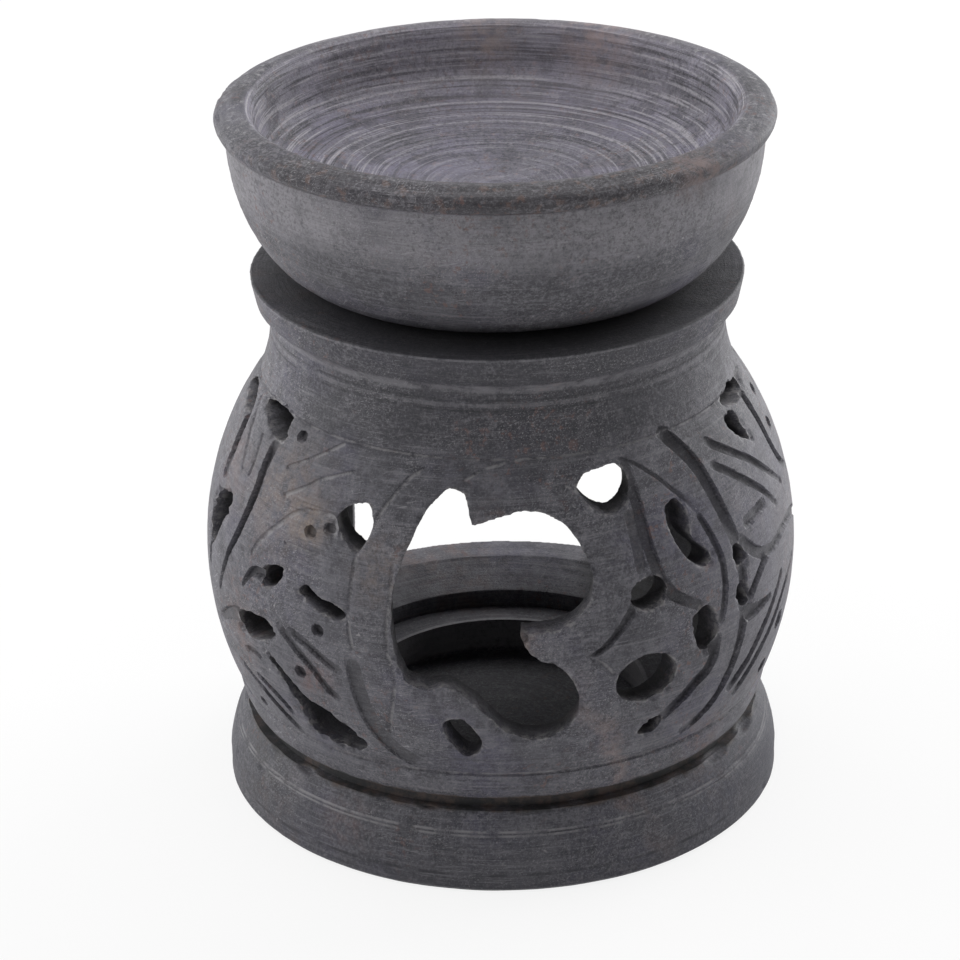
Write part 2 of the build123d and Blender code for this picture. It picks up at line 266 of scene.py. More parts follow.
class Soapstone:
    """A stone material that is built up by laying one colour over another.

    Its patterns go by the place on the piece in millimetres, its height and its radius.
    """

    def __init__(self, name, ring_fineness):
        self.material = bpy.data.materials.new(name)
        self.material.use_nodes = True
        self.tree = self.material.node_tree
        self.tree.nodes.clear()
        output = self.add("ShaderNodeOutputMaterial")
        self.shader = self.add("ShaderNodeBsdfPrincipled", {"Roughness": 0.62, "Specular IOR Level": 0.35})
        self.tree.links.new(self.shader.outputs["BSDF"], output.inputs["Surface"])
        coordinates = self.add("ShaderNodeTexCoord").outputs["Object"]
        to_millimetres = {"Vector": coordinates, "Scale": (1000, 1000, 1000)}
        self.place = self.add("ShaderNodeMapping", to_millimetres).outputs["Vector"]
        parts = self.add("ShaderNodeSeparateXYZ", {"Vector": self.place})
        self.across, self.back, self.height = parts.outputs
        flat = self.add("ShaderNodeVectorMath", {0: self.place, 1: (1, 1, 0)}, operation="MULTIPLY")
        away = self.add("ShaderNodeVectorMath", {0: flat.outputs["Vector"]}, operation="LENGTH")
        self.radius = away.outputs["Value"]
        self.rings = self.turning_rings(ring_fineness)
        self.lay_broad_colours()

    def add(self, kind, inputs=None, **settings):
        """A node in this material."""
        return add_node(self.tree, kind, inputs, **settings)

    def times(self, first, second):
        """The product of two values."""
        return maths(self.tree, "MULTIPLY", first, second)

    def plus(self, first, second):
        """The sum of two values."""
        return maths(self.tree, "ADD", first, second)

    def other_than(self, value):
        """1 where a value is 0, and 0 where it is 1."""
        return maths(self.tree, "SUBTRACT", 1.0, value)

    def spread(self, value, low, high, to_low=0.0, to_high=1.0):
        """A value mapped from one range to another, and held at its ends."""
        mapped = self.add(
            "ShaderNodeMapRange",
            {"Value": value, "From Min": low, "From Max": high, "To Min": to_low, "To Max": to_high},
            interpolation_type="SMOOTHSTEP",
        )
        return mapped.outputs["Result"]

    def cloud(self, place, scale, detail, roughness):
        """A cloudy value about 0.5 with features of about 1 / scale millimetres."""
        inputs = {"Vector": place, "Scale": scale, "Detail": detail, "Roughness": roughness}
        return self.add("ShaderNodeTexNoise", inputs).outputs["Fac"]

    def grain(self, offset, scale, detail, roughness=0.55):
        """A cloudy value at the place moved by an offset, so that two patterns don't fall together."""
        moved = self.add("ShaderNodeVectorMath", {0: self.place, 1: offset}, operation="ADD")
        return self.cloud(moved.outputs["Vector"], scale, detail, roughness)

    def mix(self, factor, under, over):
        """One colour laid over another by a factor."""
        return self.add("ShaderNodeMix", {0: factor, 6: under, 7: over}, data_type="RGBA").outputs[2]

    def tint(self, factor, shade):
        """Lays a colour over what there is so far."""
        self.colour = self.mix(factor, self.colour, shade)

    def lay_over(self, layers, share=1.0):
        """Lays patterns one after another.

        Each has an offset, features to the millimetre, detail, roughness, a range, a strength and a colour.
        """
        for offset, scale, detail, roughness, low, high, strength, shade in layers:
            pattern = self.grain(offset, scale, detail, roughness)
            self.tint(self.times(self.spread(pattern, low, high, 0.0, strength), share), shade)

    def on_front(self):
        """A value of 0 at the sides and the back of the burner that rises to 1 at its front."""
        return self.spread(self.back, -10.0, -30.0)

    def mark(self, name):
        """The value of one of the piece's own marks."""
        return self.add("ShaderNodeAttribute", attribute_name=name).outputs["Fac"]

    def spot(self, centre, reach):
        """A value of 1 at a centre that falls off to 0 at a reach in millimetres."""
        apart = self.add("ShaderNodeVectorMath", {0: self.place, 1: centre}, operation="DISTANCE")
        return self.spread(apart.outputs["Value"], reach, 0.0)

    def lay_blotches(self, blotches):
        """Lays ragged patches, each with a centre, a reach, a colour and a strength."""
        for centre, reach, shade, strength in blotches:
            ragged = self.spread(self.grain(centre, 0.45, 6.0, 0.7), 0.38, 0.62)
            self.tint(self.times(self.times(self.spot(centre, reach), ragged), strength), shade)

    def turning_rings(self, fineness, drift=0.05):
        """A value that runs round the piece in fine rings, as lathe marks do, broken up by the drift."""
        ring_place = self.add("ShaderNodeCombineXYZ", {
            "X": self.plus(self.times(self.radius, fineness), self.times(self.across, drift)),
            "Y": self.times(self.back, drift),
            "Z": self.times(self.height, fineness),
        })
        return self.cloud(ring_place.outputs["Vector"], 1.0, 3.0, 0.65)

    def lay_rings(self, rings, gap, reach, strength, pale, dark):
        """Lays a pale colour on the rings above their middle value and a dark one on those below."""
        for side, shade in ((1, pale), (-1, dark)):
            on_ring = self.spread(rings, 0.5 + side * gap, 0.5 + side * reach)
            self.tint(self.times(on_ring, strength), shade)

    def lay_broad_colours(self):
        """The broad colours of the stone: blue-grey and purple clouds, mottles and pink-brown patches."""
        clouds = self.spread(self.cloud(self.place, 0.05, 4.0, 0.6), 0.32, 0.68)
        self.colour = self.mix(clouds, (0.073, 0.072, 0.084, 1), (0.118, 0.116, 0.134, 1))
        self.lay_over([
            ((31, 7, 13), 0.06, 4.0, 0.55, 0.48, 0.66, 0.65, (0.094, 0.088, 0.138, 1)),
            ((44, 17, 3), 0.33, 6.0, 0.65, 0.46, 0.62, 0.65, (0.174, 0.169, 0.193, 1)),
            ((3, 59, 23), 0.45, 5.0, 0.65, 0.52, 0.34, 0.65, (0.041, 0.039, 0.048, 1)),
        ])
        pink = ((8, 4, 61), 0.40, 6.0, 0.70, 0.42, 0.66, 0.70, (0.190, 0.137, 0.130, 1))
        self.lay_over([pink], self.spread(self.grain((-17, 43, 5), 0.035, 3.0), 0.54, 0.66))

    def lay_grain(self, coarse):
        """The stone's crystals and fine grain, rust and pale specks, and short scratches.

        Coarse is how much of the larger crystals shows where they show at all.
        """
        crystal_zones = self.spread(self.grain((83, 29, 50), 0.06, 3.0), 0.38, 0.62, 0.25 * coarse, coarse)
        self.lay_over([
            ((9, 21, 67), 1.00, 3.0, 0.60, 0.50, 0.68, 0.75, (0.228, 0.221, 0.245, 1)),
            ((61, 12, 19), 1.20, 3.0, 0.60, 0.50, 0.32, 0.75, (0.034, 0.033, 0.040, 1)),
            ((52, 5, 38), 2.20, 2.0, 0.50, 0.50, 0.66, 0.50, (0.280, 0.272, 0.298, 1)),
            ((15, 33, 81), 2.20, 2.0, 0.50, 0.50, 0.34, 0.55, (0.028, 0.028, 0.034, 1)),
        ], crystal_zones)
        self.lay_over([
            ((27, 8, 72), 3.20, 3.0, 0.60, 0.52, 0.76, 0.40, (0.260, 0.253, 0.272, 1)),
            ((36, 90, 4), 3.00, 3.0, 0.60, 0.48, 0.24, 0.45, (0.030, 0.030, 0.035, 1)),
        ])
        rust = ((14, 2, 48), 0.95, 3.0, 0.60, 0.57, 0.68, 0.65, (0.165, 0.098, 0.088, 1))
        self.lay_over([rust], self.spread(self.grain((25, 66, 2), 0.07, 3.0), 0.50, 0.62))
        scratch_zones = self.spread(self.grain((4, 95, 31), 0.07, 3.0), 0.42, 0.60, 0.12, 0.50)
        scratch_runs = [
            ((0.3, 1.3, 0), (7, 1, 5)), ((0.9, 0.4, 0), (27, 9, 2)), ((-0.7, 1.0, 0.3), (3, 41, 6)),
        ]
        for turn, offset in scratch_runs:
            along = self.add(
                "ShaderNodeMapping",
                {"Vector": self.place, "Location": offset, "Rotation": turn, "Scale": (0.20, 0.20, 3.6)},
                vector_type="TEXTURE",
            )
            scratches = self.spread(self.cloud(along.outputs["Vector"], 1.0, 2.0, 0.6), 0.60, 0.70)
            self.tint(self.times(scratches, scratch_zones), (0.350, 0.343, 0.362, 1))
        self.lay_over([((71, 3, 9), 0.75, 2.0, 0.60, 0.72, 0.78, 0.50, (0.42, 0.40, 0.41, 1))])

    def lay_streaks(self, strength):
        """Fine pale and dark streaks round the piece, a few millimetres long, in patches."""
        patches = self.spread(self.grain((16, 88, 23), 0.09, 3.0), 0.40, 0.62, 0.15, strength)
        streaks = self.turning_rings(4.0, 0.24)
        self.lay_rings(streaks, 0.04, 0.18, patches, (0.255, 0.248, 0.270, 1), (0.034, 0.033, 0.039, 1))

    def lay_vein(self):
        """A thin pink-brown vein that slants through the block, from the window's foot to the base."""
        slant = {0: self.place, 1: (-0.810, -0.378, -0.449)}
        level = self.add("ShaderNodeVectorMath", slant, operation="DOT_PRODUCT").outputs["Value"]
        bent = self.spread(self.grain((6, 91, 14), 0.12, 4.0, 0.6), 0.2, 0.8, 4.1, 10.1)
        apart = maths(self.tree, "ABSOLUTE", self.plus(level, bent))
        line = self.times(self.spread(apart, 2.3, 0.4), self.spot((16.5, -37.0, 16.0), 24.0))
        ragged = self.spread(self.grain((2, 7, 33), 0.55, 6.0, 0.7), 0.36, 0.60, 0.15, 0.85)
        self.tint(self.times(line, ragged), (0.230, 0.168, 0.158, 1))

    def lay_lines(self, lines, broken):
        """Lays lines round the piece, each with a height, two half widths, a strength and a colour."""
        for line_height, half_width, full_half_width, strength, shade in lines:
            apart = maths(self.tree, "ABSOLUTE", maths(self.tree, "SUBTRACT", self.height, line_height))
            line = self.spread(apart, half_width, full_half_width, 0.0, strength)
            self.tint(self.times(line, broken), shade)

    def lay_joint_dirt_and_shade(self):
        """Dark cement and dirt in the groove between base and body, with red-brown crumbs, darkened further
        as painted shade in the joint.
        """
        ragged = self.spread(self.grain((9, 2, 77), 0.35, 5.0, 0.7), 0.25, 0.75, -0.3, 0.3)
        uneven = self.plus(self.height, ragged)
        band = self.times(self.spread(uneven, 10.7, 11.3), self.spread(uneven, 13.5, 13.1))
        crumbs = self.spread(self.grain((5, 5, 5), 0.20, 6.0, 0.75), 0.44, 0.60)
        # Red-brown crumbs over a dark colour that is partly painted shade.
        dirt_and_shade = self.mix(crumbs, (0.030, 0.030, 0.032, 1), (0.080, 0.060, 0.054, 1))
        self.tint(self.times(band, self.spread(self.radius, 33.4, 34.4)), dirt_and_shade)

    def finish(self, piece, ring_height, grain_height):
        """Adds the fine relief of grain and lathe marks, and gives the stone to a piece."""
        rough = self.cloud(self.place, 2.2, 5.0, 0.7)
        bumps = self.add(
            "ShaderNodeBump", {"Height": rough, "Strength": 0.6, "Distance": grain_height * mm}
        )
        lathe = self.add(
            "ShaderNodeBump",
            {
                "Height": self.rings, "Strength": 0.6, "Distance": ring_height * mm,
                "Normal": bumps.outputs["Normal"],
            },
        )
        self.tree.links.new(lathe.outputs["Normal"], self.shader.inputs["Normal"])
        self.tree.links.new(self.colour, self.shader.inputs["Base Color"])
        piece.data.materials.clear()
        piece.data.materials.append(self.material)


pale_line = (0.330, 0.322, 0.334, 1)
stone = Soapstone("base_soapstone", 2.2)
stone.lay_rings(stone.rings, 0.02, 0.20, 0.55, (0.215, 0.210, 0.228, 1), (0.038, 0.037, 0.044, 1))
# Painted shade: the base is darkened towards its foot, below the shoulder.
shaded_low_side = stone.spread(stone.height, 8.2, 6.4, 0.0, 0.35)
stone.tint(shaded_low_side, (0.036, 0.035, 0.042, 1))
stone.lay_blotches([
    ((-34.0, -17.0, 9.0), 10.0, (0.098, 0.088, 0.070, 1), 0.8),
    ((-21.3, -32.0, 7.0), 6.0, (0.210, 0.150, 0.150, 1), 0.8),
    ((29.0, -25.0, 7.0), 9.0, (0.086, 0.086, 0.130, 1), 0.7),
])
# Painted shade: the base's right and left sides are darkened, the right side more.
shaded_right_side = stone.spot((37.0, -8.0, 6.0), 30.0)
shaded_left_side = stone.spot((-37.0, -8.0, 6.0), 30.0)
for side, strength in ((shaded_right_side, 0.95), (shaded_left_side, 0.60)):
    stone.tint(stone.times(side, strength), (0.046, 0.046, 0.062, 1))
# Painted light: the wall of the tea light's recess is lightened.
lit_recess_wall = stone.times(stone.spread(stone.radius, 21.2, 20.8), stone.spread(stone.height, 6.1, 6.8))
stone.tint(stone.times(lit_recess_wall, 0.8), (0.360, 0.350, 0.370, 1))
stone.lay_vein()
stone.lay_streaks(0.55)
stone.lay_grain(0.60)
broken = stone.spread(stone.grain((12, 1, 40), 0.30, 5.0, 0.7), 0.38, 0.58)
stone.lay_lines([(line_height, 0.24, 0.06, 0.8, pale_line) for line_height in scribe_heights], broken)
stone.lay_lines([(low_line_height, 0.30, 0.10, 0.7, (0.020, 0.020, 0.024, 1))], broken)
stone.tint(0.30, (0.028, 0.028, 0.036, 1))
# More painted shade on the base's right side.
stone.tint(stone.times(shaded_right_side, 0.35), (0.036, 0.036, 0.052, 1))
# Cement and dirt in the joint, partly painted shade.
stone.lay_joint_dirt_and_shade()
stone.finish(turned_base, 0.10, 0.14)
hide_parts("base")
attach(turned_base, "stand")

# Body: the globe over the base, turned hollow from one block of soapstone, then pierced and carved by hand.
# It has a bead at its foot, a neck and a flat collar that the dish sits in, and a door for the tea light
# at the back. Holes are drilled and filed right through, leaves and veins are cut about a millimetre deep.
bead_foot = 12.8
bead_edge = (36.4, 12.95)
bead_middle = (37.35, 15.1)
bead_top = 17.5
carved_height = 43.8
carved_top = 61.3
globe_centre = 35.1
globe_arc = 44.8
globe_offset = -3.4
wall = 4.2
tenon_radius = 33.0
tenon_foot = 8.8
floor_ring_radius = 25.5
floor_ring_top = 13.3
chamber_foot = 15.6
neck_middle = 65.9
neck_middle_inset = 1.35
neck_top = 70.5
neck_top_inset = 1.75
collar_top = 76.0
collar_outside = [(32.29, 71.6), (33.09, 72.4), (33.79, 75.75), (33.54, collar_top)]
mouth_radius = 22.0
mouth_foot = 71.4
throat = (27.6, 69.4)
body_steps = 360
body_smoothing = math.radians(34)
voxel = 0.25
triangle_limit = 192000


def globe_radius(height, inset=0.0):
    """Radius of the globe's outer face at a height, or of a face set in from it."""
    return globe_offset + math.sqrt((globe_arc - inset)**2 - (height - globe_centre)**2)


def globe_run(low, high, inset, count):
    """The globe's profile from one height to another."""
    heights = [low + (high - low) * step / count for step in range(count + 1)]
    return [(globe_radius(height, inset), height) for height in heights]


neck_foot_radius = globe_radius(carved_top)
body_profile = [
    (tenon_radius, tenon_foot),
    (tenon_radius, base_height),
    (joint_radius, base_height),
    (joint_radius, bead_foot),
]
body_profile += along_arc(bead_edge, bead_middle, (globe_radius(bead_top), bead_top), 8)
body_profile += globe_run(bead_top, carved_top, 0, 64)[1:]
body_profile += along_arc(
    (neck_foot_radius, carved_top),
    (neck_foot_radius - neck_middle_inset, neck_middle),
    (neck_foot_radius - neck_top_inset, neck_top),
    12,
)[1:]
body_profile += collar_outside + [(mouth_radius, collar_top), (mouth_radius, mouth_foot), throat]
body_profile += globe_run(carved_top, chamber_foot, wall, 40)
body_profile += [
    (floor_ring_radius, floor_ring_top), (floor_ring_radius, tenon_foot), (tenon_radius, tenon_foot)
]
pierced_body = turn_on_lathe("pierced_body", body_profile, body_steps)

# Outlines of the holes: runs of points, each a bearing in degrees from the front and a share of the band.
# A run of two points is a straight cut, a longer one a curve.
window = [
    [(-5.8, 0.83), (-6.8, 0.88), (-7.4, 0.915)],
    [(-7.4, 0.915), (-11.2, 0.925)],
    [(-11.2, 0.925), (-15.2, 0.86), (-18.2, 0.755),
     (-20.3, 0.63), (-20.5, 0.54), (-19.6, 0.42), (-17.6, 0.335)],
    [(-17.6, 0.335), (-14.0, 0.322), (-10.0, 0.334), (-6.6, 0.30), (-3.6, 0.255), (-0.5, 0.19), (3.0, 0.155),
     (7.0, 0.145), (11.0, 0.165), (13.6, 0.215), (14.2, 0.275), (12.8, 0.35), (9.6, 0.41)],
    [(9.6, 0.41), (6.4, 0.43), (4.4, 0.465), (3.1, 0.515)],
    [(3.1, 0.515), (7.0, 0.515), (12.0, 0.53), (16.0, 0.585), (17.3, 0.66), (16.4, 0.73), (13.6, 0.81),
     (9.8, 0.852), (5.0, 0.868), (0.0, 0.853), (-5.8, 0.83)],
]
dot_hole = [
    [(16.4, 0.91), (18.2, 0.945), (21.0, 0.955), (26.2, 0.962)],
    [(26.2, 0.962), (28.2, 0.93), (28.0, 0.885), (25.6, 0.845), (22.6, 0.832), (19.4, 0.855), (16.4, 0.91)],
]
leaf_hole = [
    [(-27.9, 0.86), (-26.2, 0.80), (-28.6, 0.717)],
    [(-28.6, 0.717), (-31.6, 0.74), (-34.4, 0.80), (-31.6, 0.845), (-27.9, 0.86)],
]
crescent_hole = [
    [(35.2, 0.76), (35.8, 0.815), (38.2, 0.83), (40.0, 0.79), (40.0, 0.72), (42.0, 0.675), (44.0, 0.64),
     (42.8, 0.61), (40.2, 0.625), (37.2, 0.68), (35.2, 0.76)],
]
tail_hole = [
    [(40.4, 0.487), (38.2, 0.455), (38.7, 0.40), (40.0, 0.348), (42.0, 0.335), (44.0, 0.352), (44.4, 0.41),
     (43.0, 0.475), (40.4, 0.487)],
]
foot_hole = [
    [(-9.6, 0.22), (-6.6, 0.205), (-4.2, 0.14), (-5.2, 0.09), (-7.6, 0.08), (-10.0, 0.13), (-11.3, 0.19),
     (-9.6, 0.22)],
]
slit_hole = [[(27.2, 0.105), (29.6, 0.14), (32.3, 0.145), (31.8, 0.10), (29.4, 0.09), (27.2, 0.105)]]
long_slot = [
    [(-51.6, 0.295), (-46.6, 0.255), (-41.0, 0.185), (-35.6, 0.155), (-30.2, 0.095), (-28.4, 0.06),
     (-31.0, 0.03), (-37.0, 0.035), (-41.6, 0.06), (-44.0, 0.15), (-47.8, 0.235), (-51.6, 0.295)],
]
barb_hole = [
    [(-41.3, 0.55), (-39.2, 0.58), (-36.2, 0.555), (-31.6, 0.542), (-30.4, 0.515), (-33.0, 0.50),
     (-38.0, 0.525), (-41.3, 0.55)],
]
wedge_hole = [
    [(-51.8, 0.565), (-49.2, 0.595), (-46.2, 0.60), (-46.4, 0.565), (-48.8, 0.525), (-51.4, 0.52),
     (-51.8, 0.565)],
]
brow_hole = [
    [(-61.0, 0.36), (-56.6, 0.395), (-50.4, 0.405), (-48.2, 0.375), (-50.4, 0.335), (-57.6, 0.31),
     (-61.0, 0.36)],
]
side_leaf_hole = [
    [(-68.8, 0.70), (-68.6, 0.66), (-71.4, 0.57), (-75.2, 0.50), (-77.6, 0.51), (-78.2, 0.58), (-77.0, 0.65),
     (-73.8, 0.69), (-68.8, 0.70)],
]
shoulder_hole = [
    [(-72.4, 0.985), (-64.0, 1.01), (-57.0, 0.995)],
    [(-57.0, 0.995), (-56.0, 0.93)],
    [(-56.0, 0.93), (-60.5, 0.93), (-66.0, 0.955), (-72.4, 0.985)],
]
far_shoulder_hole = [
    [(-90.0, 0.955), (-85.0, 0.985), (-79.4, 0.955), (-77.4, 0.922), (-81.0, 0.915), (-86.0, 0.935),
     (-90.0, 0.955)],
]
upper_notch = [[(50.6, 0.625), (53.0, 0.62), (54.4, 0.57), (52.0, 0.555), (50.5, 0.585), (50.6, 0.625)]]
lower_notch = [[(50.6, 0.50), (53.2, 0.495), (54.0, 0.42), (51.8, 0.425), (50.5, 0.455), (50.6, 0.50)]]
thorn_hole = [
    [(61.9, 0.935), (64.4, 0.957), (67.4, 0.952), (67.9, 0.91), (69.2, 0.857)],
    [(69.2, 0.857), (65.6, 0.885), (61.9, 0.935)],
]
brow_slot = [
    [(64.8, 0.99), (72.0, 1.012), (79.5, 0.998), (80.4, 0.98), (79.5, 0.966), (71.0, 0.962), (64.8, 0.99)],
]
left_mirror = -92
right_mirror = 92


def mirrored(runs, bearing):
    """The same runs on the other side of a bearing."""
    return [[(2 * bearing - angle, share) for angle, share in run] for run in runs]


def oval(angle, share, half_width, half_share):
    """An oval outline as one closed run."""
    steps = [whole_turn * step / 8 for step in range(9)]
    return [[(angle + half_width * math.cos(step), share + half_share * math.sin(step)) for step in steps]]


def smooth_run(points, pieces):
    """A curve through points, each stretch between two of them cut in pieces."""
    if len(points) == 2:
        stretch_count = pieces * 2
        (x0, y0), (x1, y1) = points
        return [
            (x0 + (x1 - x0) * step / stretch_count, y0 + (y1 - y0) * step / stretch_count)
            for step in range(stretch_count + 1)
        ]
    closed = points[0] == points[-1]
    before = points[-2] if closed else points[0]
    after = points[1] if closed else points[-1]
    chain = [before] + points + [after]
    curve = []
    for p0, p1, p2, p3 in zip(chain, chain[1:], chain[2:], chain[3:]):
        for step in range(pieces):
            t = step / pieces
            curve.append(tuple(
                0.5 * (
                    2 * b + (c - a) * t
                    + (2 * a - 5 * b + 4 * c - d) * t**2 + (3 * b - a - 3 * c + d) * t**3
                )
                for a, b, c, d in zip(p0, p1, p2, p3)
            ))
    return curve + [points[-1]]


def hole_outline(runs):
    """The whole outline of a hole as one list of (bearing, share), without the last, which is the first."""
    outline = []
    for run in runs:
        outline += smooth_run(run, 5)[:-1]
    return outline


def cut_away(piece, cutter):
    """Takes the cutter's shape out of a piece and throws the cutter away."""
    modify(piece, "BOOLEAN", operation="DIFFERENCE", solver="MANIFOLD", object=cutter)
    bpy.data.objects.remove(cutter)


def drawn_cutter(places, push):
    """A cutter from a flat outline of places in millimetres, filled and pushed out by a vector."""
    cutter = draw_line(places[0] * mm, [(there - here) * mm for here, there in zip(places, places[1:])])
    bpy.ops.mesh.edge_face_add()
    bpy.ops.mesh.extrude_region_move(TRANSFORM_OT_translate={"value": push * mm})
    bpy.ops.mesh.select_all(action="SELECT")
    bpy.ops.mesh.normals_make_consistent(inside=False)
    bpy.ops.object.mode_set(mode="OBJECT")
    return cutter


hand_wobble = 0.07
hole_start = 23.0
hole_end = 46.0
hand = random.Random(5)


def hole_cutter(runs, cut_bearing=None):
    """The file's path through the wall for one hole, along its middle bearing where no other is given."""
    outline = hole_outline(runs)
    angles = [angle for angle, share in outline]
    if cut_bearing is None:
        cut_bearing = (min(angles) + max(angles)) / 2
    bearing = math.radians(cut_bearing)
    outwards = Vector((math.sin(bearing), -math.cos(bearing), 0))
    sideways = Vector((math.cos(bearing), math.sin(bearing), 0))
    places = []
    for angle, share in outline:
        height = bead_top + carved_height * share
        reach = globe_radius(height) * math.sin(math.radians(angle) - bearing)
        wobble = Vector((hand.uniform(-1, 1), hand.uniform(-1, 1))) * hand_wobble
        upwards = Vector((0, 0, height + wobble.y))
        places.append(outwards * hole_start + sideways * (reach + wobble.x) + upwards)
    return drawn_cutter(places, outwards * (hole_end - hole_start))


holes = [
    window, crescent_hole, tail_hole, foot_hole, slit_hole, long_slot, barb_hole, wedge_hole,
    brow_hole, side_leaf_hole, shoulder_hole, far_shoulder_hole,
    upper_notch, lower_notch, thorn_hole, brow_slot,
    oval(28.9, 0.583, 4.0, 0.05), oval(27.9, 0.31, 6.4, 0.08),
]
holes += [mirrored(runs, left_mirror) for runs in (wedge_hole, brow_hole, side_leaf_hole, shoulder_hole)]
holes += [mirrored(runs, right_mirror) for runs in (upper_notch, lower_notch, thorn_hole, brow_slot)]
for runs in holes:
    cut_away(pierced_body, hole_cutter(runs))
straighter_holes = [(dot_hole, 12), (leaf_hole, -16)]
for runs, cut_bearing in straighter_holes:
    cut_away(pierced_body, hole_cutter(runs, cut_bearing))
holes += [runs for runs, cut_bearing in straighter_holes]

# Door at the back: an arch sawn straight in, its sill level with the chamber's floor
half_door = 22.0
door_sill = 15.8
door_spring = 25.8
door_start = 10.0
door_run = 40.0
door_line = [(-half_door, door_spring), (-half_door, door_sill), (half_door, door_sill)]
door_arch = along_arc((half_door, door_spring), (0, door_spring + half_door), (-half_door, door_spring), 40)
door_line += door_arch[:-1]
door_places = [Vector((x, door_start, z)) for x, z in door_line]
cut_away(pierced_body, drawn_cutter(door_places, Vector((0, door_run, 0))))

# Even the mesh out and round its edges, as hand filing does
modify(pierced_body, "REMESH", mode="VOXEL", voxel_size=voxel * mm)
modify(pierced_body, "SMOOTH", factor=0.5, iterations=2)

# Carved grooves: points of (bearing, share), width at the start and the end, and depth, in millimetres
grooves = [
    ([(-28.8, 0.38), (-28.0, 0.30), (-26.5, 0.20), (-24.0, 0.12), (-20.5, 0.06), (-16.0, 0.025)],
     2.2, 2.4, 0.5),
    ([(-46.0, 0.41), (-42.0, 0.36), (-38.0, 0.31), (-34.5, 0.25), (-32.5, 0.23)], 1.2, 1.0, 0.7),
    ([(-43.0, 0.41), (-39.0, 0.39), (-35.0, 0.355), (-31.5, 0.33)], 1.2, 1.0, 0.7),
    ([(-56.0, 0.17), (-50.0, 0.13), (-47.0, 0.09)], 0.8, 1.0, 0.7),
    ([(-57.0, 0.13), (-52.0, 0.08), (-46.0, 0.02)], 0.9, 1.3, 0.7),
    ([(-63.0, 0.17), (-55.0, 0.12)], 0.8, 0.6, 0.5),
    ([(-52.0, 0.55), (-55.0, 0.54), (-58.0, 0.48)], 1.6, 0.5, 1.0),
    ([(-58.3, 0.93), (-58.7, 0.85), (-58.8, 0.78), (-60.0, 0.70), (-62.0, 0.62), (-64.5, 0.55), (-67.0, 0.47),
      (-69.5, 0.39)], 1.6, 0.7, 1.1),
    ([(-83.0, 0.985), (-78.0, 0.95), (-76.0, 0.90), (-75.2, 0.83), (-75.0, 0.74)], 1.4, 1.8, 1.1),
    ([(-76.5, 0.50), (-76.8, 0.45), (-77.0, 0.41)], 1.0, 0.5, 0.8),
    ([(-60.0, 0.36), (-64.0, 0.335), (-68.0, 0.30), (-71.5, 0.26)], 2.4, 1.0, 0.45),
    ([(-58.5, 0.25), (-55.0, 0.262), (-53.0, 0.25)], 0.9, 0.7, 0.5),
    ([(25.0, 0.55), (22.5, 0.50), (19.0, 0.445), (16.5, 0.425)], 1.3, 0.5, 0.9),
    ([(28.5, 0.95), (29.0, 0.85), (29.5, 0.75), (30.3, 0.68), (31.5, 0.62), (34.0, 0.56), (37.0, 0.525),
      (39.5, 0.50)], 1.4, 1.5, 1.0),
    ([(27.0, 0.83), (27.3, 0.74), (27.5, 0.64)], 1.8, 1.6, 0.35),
    ([(27.0, 0.975), (31.0, 0.95), (35.0, 0.905), (38.0, 0.86), (40.5, 0.82), (43.0, 0.76)], 0.5, 0.6, 0.4),
    ([(43.0, 0.76), (44.0, 0.73), (45.8, 0.66), (46.8, 0.60), (46.8, 0.52), (46.0, 0.45), (45.3, 0.42)],
     0.8, 1.2, 0.9),
    ([(44.0, 0.36), (43.5, 0.30), (42.0, 0.26), (40.0, 0.24), (37.5, 0.205), (35.0, 0.175), (32.5, 0.145)],
     1.9, 1.5, 1.1),
    ([(41.0, 1.0), (44.0, 0.95), (46.5, 0.89), (48.5, 0.80), (50.0, 0.72), (51.5, 0.64)], 2.1, 1.9, 1.1),
    ([(52.3, 0.56), (52.4, 0.50)], 1.7, 1.7, 0.7),
    ([(52.3, 0.42), (52.0, 0.36), (51.0, 0.28), (49.0, 0.20), (46.5, 0.13), (43.0, 0.08), (39.0, 0.05)],
     1.8, 1.3, 0.9),
    ([(53.0, 0.635), (56.0, 0.59), (59.0, 0.555), (62.0, 0.54), (66.0, 0.54), (72.0, 0.555), (78.0, 0.55),
      (84.0, 0.52), (90.0, 0.465), (95.0, 0.43)], 1.7, 1.3, 0.7),
    ([(54.5, 0.44), (57.0, 0.48), (60.0, 0.515), (63.0, 0.535)], 1.5, 1.2, 1.0),
    ([(52.5, 0.935), (57.0, 0.89), (62.0, 0.845), (66.0, 0.805), (70.0, 0.755), (76.5, 0.675)],
     1.3, 0.8, 0.8),
    ([(51.5, 0.87), (56.0, 0.825), (61.0, 0.77), (66.0, 0.71), (70.0, 0.645)], 1.2, 0.8, 0.8),
    ([(56.2, 0.672), (60.0, 0.68), (63.8, 0.684)], 1.7, 1.5, 0.8),
    ([(54.0, 0.385), (58.0, 0.38), (62.5, 0.385)], 2.4, 0.7, 0.9),
    ([(51.0, 0.14), (56.0, 0.21), (60.0, 0.28), (64.0, 0.345), (68.5, 0.42)], 1.6, 1.0, 0.9),
    ([(54.0, 0.10), (60.0, 0.19), (66.0, 0.275), (71.0, 0.35), (78.0, 0.41)], 1.5, 0.9, 0.9),
    ([(77.0, 0.96), (77.2, 0.88), (78.0, 0.80), (80.0, 0.735), (83.0, 0.69), (88.0, 0.645)], 1.8, 0.9, 1.0),
    ([(80.0, 0.99), (84.0, 0.992), (88.0, 0.985)], 0.8, 0.8, 0.7),
]
